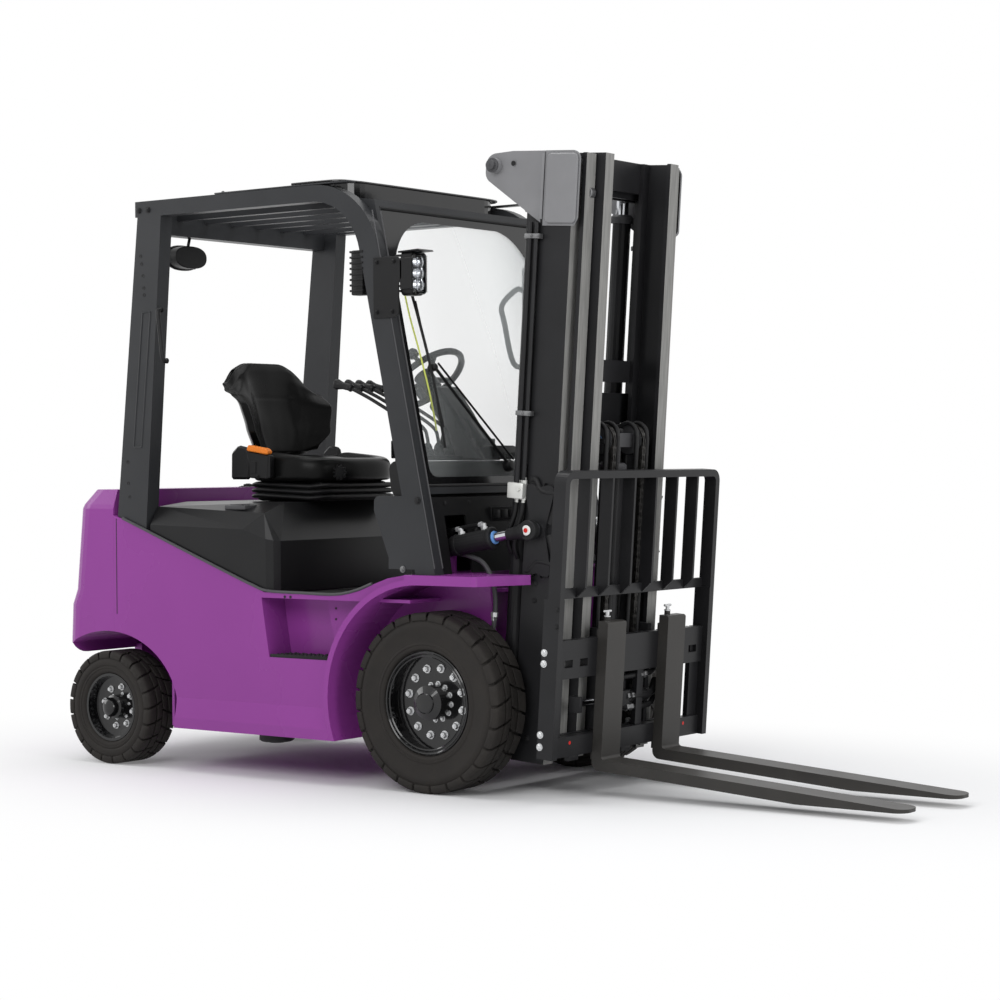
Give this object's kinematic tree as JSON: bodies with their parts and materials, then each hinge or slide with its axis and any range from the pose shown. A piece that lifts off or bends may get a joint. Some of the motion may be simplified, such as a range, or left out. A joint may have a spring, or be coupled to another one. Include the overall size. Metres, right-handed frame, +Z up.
{
  "type": "forklift truck",
  "caption": "Four-wheel electric counterbalance truck with a tilting three-stage mast, side-shifting fork carriage, overhead guard and a hood that opens over the battery.",
  "frame": {"origin": "middle of the truck's bounding box, on the floor", "axes": "+X forward along the forks, +Y to the driver's left, +Z up"},
  "size_m": [3.5384, 1.15, 2.2744],
  "materials": {
    "purple_paint": "gloss purple enamel",
    "black_steel": "satin black paint",
    "black_plastic": "fine-grained moulded plastic",
    "black_vinyl": "satin seat vinyl",
    "floor_rubber": "matt",
    "tyre_rubber": "matt rubber",
    "rim_enamel": "gloss black enamel",
    "grey_steel": "satin dark grey",
    "chrome_rod": "polished",
    "clear_glass": "clear"
  },
  "bodies": {
    "chassis": {"chassis_frame": "purple_paint", "counterweight": "purple_paint", "battery_pack": "grey_steel", "rear_deck": "black_plastic", "floor_plate": "floor_rubber", "dash_cowl": "black_plastic", "steering_column": "black_plastic", "lever_bank": "black_plastic", "drive_axle": "black_steel", "steer_axle": "black_steel", "overhead_guard": "black_steel", "guard_header": "black_steel", "windscreen": "clear_glass", "headlight_right": "black_plastic", "headlight_left": "black_plastic", "work_lamp": "black_plastic"},
    "steering_wheel_body": {"steering_wheel": "black_plastic"},
    "front_right_wheel": {"front_right_tyre": "tyre_rubber", "front_right_rim": "rim_enamel"},
    "front_left_wheel": {"front_left_tyre": "tyre_rubber", "front_left_rim": "rim_enamel"},
    "right_knuckle": {"steer_knuckle_right": "black_steel"},
    "left_knuckle": {"steer_knuckle_left": "black_steel"},
    "rear_right_wheel": {"rear_right_tyre": "tyre_rubber", "rear_right_rim": "rim_enamel"},
    "rear_left_wheel": {"rear_left_tyre": "tyre_rubber", "rear_left_rim": "rim_enamel"},
    "hood_and_seat": {"hood": "black_plastic", "seat_base": "black_plastic", "seat_cushion": "black_vinyl", "seat_backrest": "black_vinyl"},
    "outer_mast": {"mast_outer": "black_steel", "lift_barrel_right": "black_steel", "lift_barrel_left": "black_steel"},
    "middle_mast": {"mast_middle": "black_steel", "lift_rod_right": "chrome_rod", "lift_rod_left": "chrome_rod"},
    "inner_mast": {"mast_inner": "black_steel", "free_lift_barrel": "black_steel"},
    "free_lift_rod": {"free_lift_crosshead": "grey_steel"},
    "lift_carriage": {"carriage": "black_steel"},
    "shifter": {"side_shifter": "black_steel", "load_backrest": "black_steel"},
    "right_fork": {"fork_right": "black_steel"},
    "left_fork": {"fork_left": "black_steel"},
    "tilt_barrel_right_body": {"tilt_barrel_right": "black_steel"},
    "tilt_barrel_left_body": {"tilt_barrel_left": "black_steel"},
    "tilt_rod_right_body": {"tilt_rod_right": "chrome_rod"},
    "tilt_rod_left_body": {"tilt_rod_left": "chrome_rod"}
  },
  "joints": [
    {"name": "front_right_spin", "type": "hinge", "parent": "chassis", "child": "front_right_wheel", "pos_m": [0.05081, -0.452, 0.322], "axis": [0, 1, 0], "continuous": true},
    {"name": "front_left_spin", "type": "hinge", "parent": "chassis", "child": "front_left_wheel", "pos_m": [0.05081, 0.452, 0.322], "axis": [0, 1, 0], "continuous": true},
    {"name": "steer_right", "type": "hinge", "parent": "chassis", "child": "right_knuckle", "pos_m": [-1.50919, -0.396, 0.222], "axis": [0, 0, 1], "range_deg": [-55, 55]},
    {"name": "steer_left", "type": "hinge", "parent": "chassis", "child": "left_knuckle", "pos_m": [-1.50919, 0.396, 0.222], "axis": [0, 0, 1], "range_deg": [-55, 55]},
    {"name": "rear_right_spin", "type": "hinge", "parent": "right_knuckle", "child": "rear_right_wheel", "pos_m": [-1.50919, -0.484, 0.222], "axis": [0, 1, 0], "continuous": true},
    {"name": "rear_left_spin", "type": "hinge", "parent": "left_knuckle", "child": "rear_left_wheel", "pos_m": [-1.50919, 0.484, 0.222], "axis": [0, 1, 0], "continuous": true},
    {"name": "steering_wheel_turn", "type": "hinge", "parent": "chassis", "child": "steering_wheel_body", "pos_m": [-0.35419, 0, 1.49], "axis": [-0.6593, 0, 0.7519], "continuous": true},
    {"name": "hood_open", "type": "hinge", "parent": "chassis", "child": "hood_and_seat", "pos_m": [-1.28919, 0, 1.015], "axis": [0, -1, 0], "range_deg": [0, 60]},
    {"name": "mast_tilt", "type": "hinge", "parent": "chassis", "child": "outer_mast", "pos_m": [0.15081, 0, 0.3], "axis": [0, 1, 0], "range_deg": [-10, 1]},
    {"name": "tilt_barrel_swing_right", "type": "hinge", "parent": "chassis", "child": "tilt_barrel_right_body", "pos_m": [0.01081, -0.362, 0.866], "axis": [0, 1, 0], "range_deg": [-12, 2]},
    {"name": "tilt_barrel_swing_left", "type": "hinge", "parent": "chassis", "child": "tilt_barrel_left_body", "pos_m": [0.01081, 0.362, 0.866], "axis": [0, 1, 0], "range_deg": [-12, 2]},
    {"name": "tilt_rod_right_slide", "type": "slide", "parent": "tilt_barrel_right_body", "child": "tilt_rod_right_body", "axis": [0.9839, 0, 0.1787], "range_m": [-0.115, 0.02]},
    {"name": "tilt_rod_left_slide", "type": "slide", "parent": "tilt_barrel_left_body", "child": "tilt_rod_left_body", "axis": [0.9839, 0, 0.1787], "range_m": [-0.115, 0.02]},
    {"name": "middle_lift", "type": "slide", "parent": "outer_mast", "child": "middle_mast", "axis": [0.0698, 0, 0.9976], "range_m": [0, 1.5]},
    {"name": "inner_lift", "type": "slide", "parent": "middle_mast", "child": "inner_mast", "axis": [0.0698, 0, 0.9976], "range_m": [0, 1.5]},
    {"name": "carriage_lift", "type": "slide", "parent": "inner_mast", "child": "lift_carriage", "axis": [0.0698, 0, 0.9976], "range_m": [0, 1.56]},
    {"name": "free_lift_extend", "type": "slide", "parent": "inner_mast", "child": "free_lift_rod", "axis": [0.0698, 0, 0.9976], "range_m": [0, 0.78]},
    {"name": "side_shift", "type": "slide", "parent": "lift_carriage", "child": "shifter", "axis": [0, 1, 0], "range_m": [-0.1, 0.1]},
    {"name": "fork_right_slide", "type": "slide", "parent": "shifter", "child": "right_fork", "axis": [0, 1, 0], "range_m": [-0.24, 0.09]},
    {"name": "fork_left_slide", "type": "slide", "parent": "shifter", "child": "left_fork", "axis": [0, 1, 0], "range_m": [-0.15, 0.18]}
  ],
  "couplings": [
    {"joint": "steer_left", "follows": "steer_right", "ratio": 1},
    {"joint": "tilt_barrel_swing_right", "follows": "mast_tilt", "ratio": 1.018},
    {"joint": "tilt_barrel_swing_left", "follows": "mast_tilt", "ratio": 1.018},
    {"joint": "tilt_rod_right_slide", "follows": "mast_tilt", "m_per_rad": 0.5824},
    {"joint": "tilt_rod_left_slide", "follows": "mast_tilt", "m_per_rad": 0.5824},
    {"joint": "inner_lift", "follows": "middle_lift", "ratio": 1},
    {"joint": "free_lift_extend", "follows": "carriage_lift", "ratio": 0.5}
  ]
}
